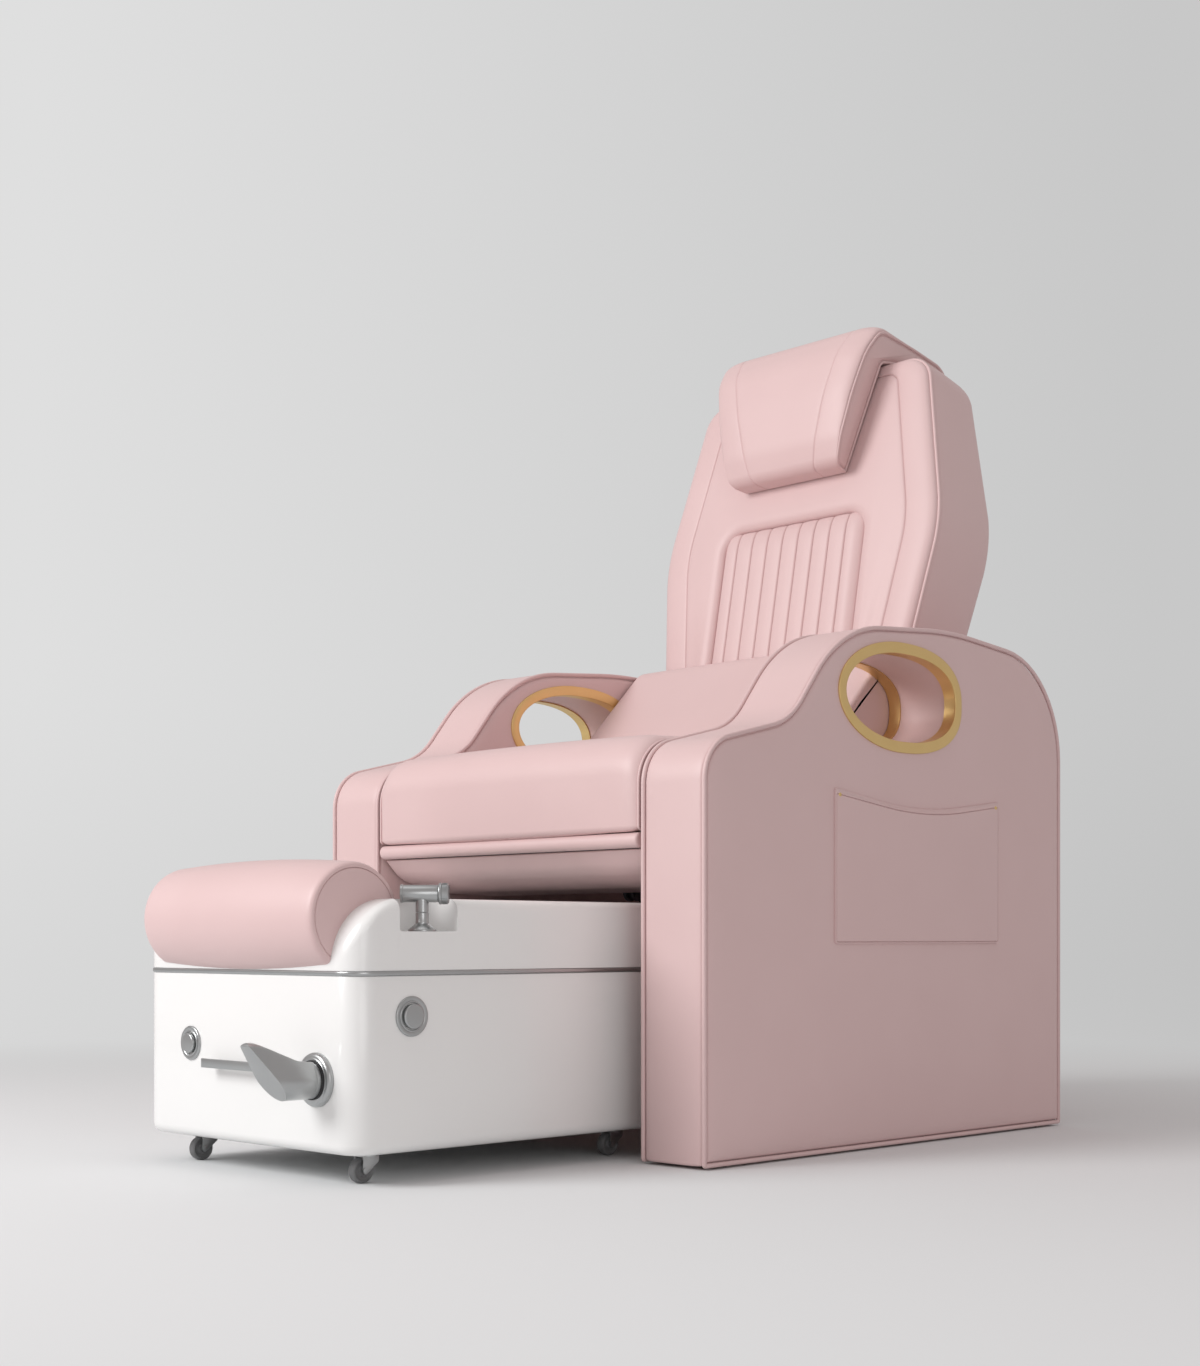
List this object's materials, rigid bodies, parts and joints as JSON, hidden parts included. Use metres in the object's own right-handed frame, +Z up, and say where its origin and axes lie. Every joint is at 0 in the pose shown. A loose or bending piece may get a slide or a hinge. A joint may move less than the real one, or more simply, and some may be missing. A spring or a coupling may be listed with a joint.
{
  "type": "pedicure spa chair",
  "caption": "Upholstered pedicure spa chair with a reclining ribbed back, a headrest, oval arm openings and a white foot tub with a faucet that rolls out on casters.",
  "frame": {"origin": "on the floor, in the middle of the chair and tub together", "axes": "+Z up, the sitter faces -Y, +X to the sitter's left"},
  "size_m": [0.886, 1.5571, 1.4353],
  "materials": {
    "leather": "smooth, low sheen",
    "gold": "brushed gold plate",
    "white_shell": "glossy acrylic",
    "chrome": "satin chrome",
    "steel": "grey powder coat",
    "black_plastic": "matt",
    "rubber": "matt",
    "wheel": "satin grey tread",
    "plywood": "raw birch plywood",
    "copper": "plain tube"
  },
  "bodies": {
    "chair": {"arm_frame_right": "plywood", "arm_frame_left": "plywood", "arm_cover_right": "leather", "arm_cover_left": "leather", "arm_rings_right": "gold", "arm_rings_left": "gold", "side_pocket": "leather", "pocket_rivets": "gold", "floor_glides": "rubber", "seat_frame": "steel", "seat_board": "plywood", "frame_bolts": "steel", "seat_cushion": "leather", "seat_front_roll": "leather", "seat_apron": "leather", "lumbar_cushion": "leather", "rear_panel": "leather", "hinge_brackets": "steel", "hinge_pins": "steel"},
    "actuator_barrel": {"actuator_barrel": "black_plastic"},
    "actuator_rod": {"actuator_rod": "chrome"},
    "back": {"back_frame": "steel", "back_shell": "leather", "back_cushion": "leather", "back_ribbed_panel": "leather", "back_hinge_plates": "steel", "back_drive_bracket": "steel", "headrest_guides": "chrome"},
    "headrest": {"headrest_posts": "chrome", "headrest_pillow": "leather"},
    "tub": {"tub_lower_shell": "white_shell", "tub_trim_band": "chrome", "tub_top": "white_shell", "tub_basin": "white_shell", "footrest_pad": "leather", "drain_fitting": "chrome", "jet_pump": "black_plastic", "mixer_valve": "chrome", "mixer_escutcheon": "chrome", "mixer_gasket": "rubber", "mixer_collar": "chrome", "pull_handle": "chrome", "button_bezels": "chrome", "faucet_base": "chrome", "supply_pipe": "copper", "caster_plates": "chrome"},
    "mixer_lever": {"mixer_lever": "chrome"},
    "side_button": {"side_button": "chrome"},
    "front_button": {"front_button": "chrome"},
    "faucet_head": {"faucet_head": "chrome"},
    "faucet_knob": {"faucet_knob": "chrome"},
    "fork_front_right": {"caster_fork_front_right": "chrome"},
    "wheel_front_right": {"caster_wheel_front_right": "wheel"},
    "fork_front_left": {"caster_fork_front_left": "chrome"},
    "wheel_front_left": {"caster_wheel_front_left": "wheel"},
    "fork_rear_right": {"caster_fork_rear_right": "chrome"},
    "wheel_rear_right": {"caster_wheel_rear_right": "wheel"},
    "fork_rear_left": {"caster_fork_rear_left": "chrome"},
    "wheel_rear_left": {"caster_wheel_rear_left": "wheel"}
  },
  "joints": [
    {"name": "back_recline", "type": "hinge", "parent": "chair", "child": "back", "pos_m": [0, 0.49711, 0.48213], "axis": [-1, 0, 0], "range_deg": [0, 30]},
    {"name": "headrest_height", "type": "slide", "parent": "back", "child": "headrest", "axis": [0, 0.1867, 0.9824], "range_m": [0, 0.06]},
    {"name": "actuator_tilt", "type": "hinge", "parent": "chair", "child": "actuator_barrel", "pos_m": [0, 0.1355, 0.41213], "axis": [1, 0, 0], "range_deg": [0, 2]},
    {"name": "actuator_stroke", "type": "slide", "parent": "actuator_barrel", "child": "actuator_rod", "axis": [0, -1, 0], "range_m": [0, 0.036]},
    {"name": "tub_roll", "type": "slide", "parent": "chair", "child": "tub", "axis": [0, -1, 0], "range_m": [-0.35, 0.25]},
    {"name": "mixer_turn", "type": "hinge", "parent": "tub", "child": "mixer_lever", "pos_m": [0.177, -0.7045, 0.143], "axis": [0, 1, 0], "range_deg": [-60, 60]},
    {"name": "side_button_press", "type": "slide", "parent": "tub", "child": "side_button", "axis": [-1, 0, 0], "range_m": [0, 0.004], "stiffness_N_per_m": 400},
    {"name": "front_button_press", "type": "slide", "parent": "tub", "child": "front_button", "axis": [0, 1, 0], "range_m": [0, 0.004], "stiffness_N_per_m": 400},
    {"name": "faucet_swivel", "type": "hinge", "parent": "tub", "child": "faucet_head", "pos_m": [0.235, -0.5275, 0.395], "axis": [0, 0, 1], "range_deg": [-35, 35]},
    {"name": "faucet_knob_turn", "type": "hinge", "parent": "faucet_head", "child": "faucet_knob", "pos_m": [0.25621, -0.50629, 0.395], "axis": [0.7071, 0.7071, 0], "range_deg": [0, 90]},
    {"name": "caster_swivel_front_right", "type": "hinge", "parent": "tub", "child": "fork_front_right", "pos_m": [0.195, -0.5905, 0.038], "axis": [0, 0, 1], "continuous": true},
    {"name": "caster_roll_front_right", "type": "hinge", "parent": "fork_front_right", "child": "wheel_front_right", "pos_m": [0.195, -0.6025, 0.0175], "axis": [1, 0, 0], "continuous": true},
    {"name": "caster_swivel_front_left", "type": "hinge", "parent": "tub", "child": "fork_front_left", "pos_m": [-0.195, -0.5905, 0.038], "axis": [0, 0, 1], "continuous": true},
    {"name": "caster_roll_front_left", "type": "hinge", "parent": "fork_front_left", "child": "wheel_front_left", "pos_m": [-0.195, -0.6025, 0.0175], "axis": [1, 0, 0], "continuous": true},
    {"name": "caster_swivel_rear_right", "type": "hinge", "parent": "tub", "child": "fork_rear_right", "pos_m": [0.195, -0.1135, 0.038], "axis": [0, 0, 1], "continuous": true},
    {"name": "caster_roll_rear_right", "type": "hinge", "parent": "fork_rear_right", "child": "wheel_rear_right", "pos_m": [0.195, -0.1255, 0.0175], "axis": [1, 0, 0], "continuous": true},
    {"name": "caster_swivel_rear_left", "type": "hinge", "parent": "tub", "child": "fork_rear_left", "pos_m": [-0.195, -0.1135, 0.038], "axis": [0, 0, 1], "continuous": true},
    {"name": "caster_roll_rear_left", "type": "hinge", "parent": "fork_rear_left", "child": "wheel_rear_left", "pos_m": [-0.195, -0.1255, 0.0175], "axis": [1, 0, 0], "continuous": true}
  ],
  "couplings": [
    {"joint": "actuator_tilt", "follows": "back_recline", "ratio": 0.043},
    {"joint": "actuator_stroke", "follows": "back_recline", "m_per_rad": 0.0668}
  ]
}
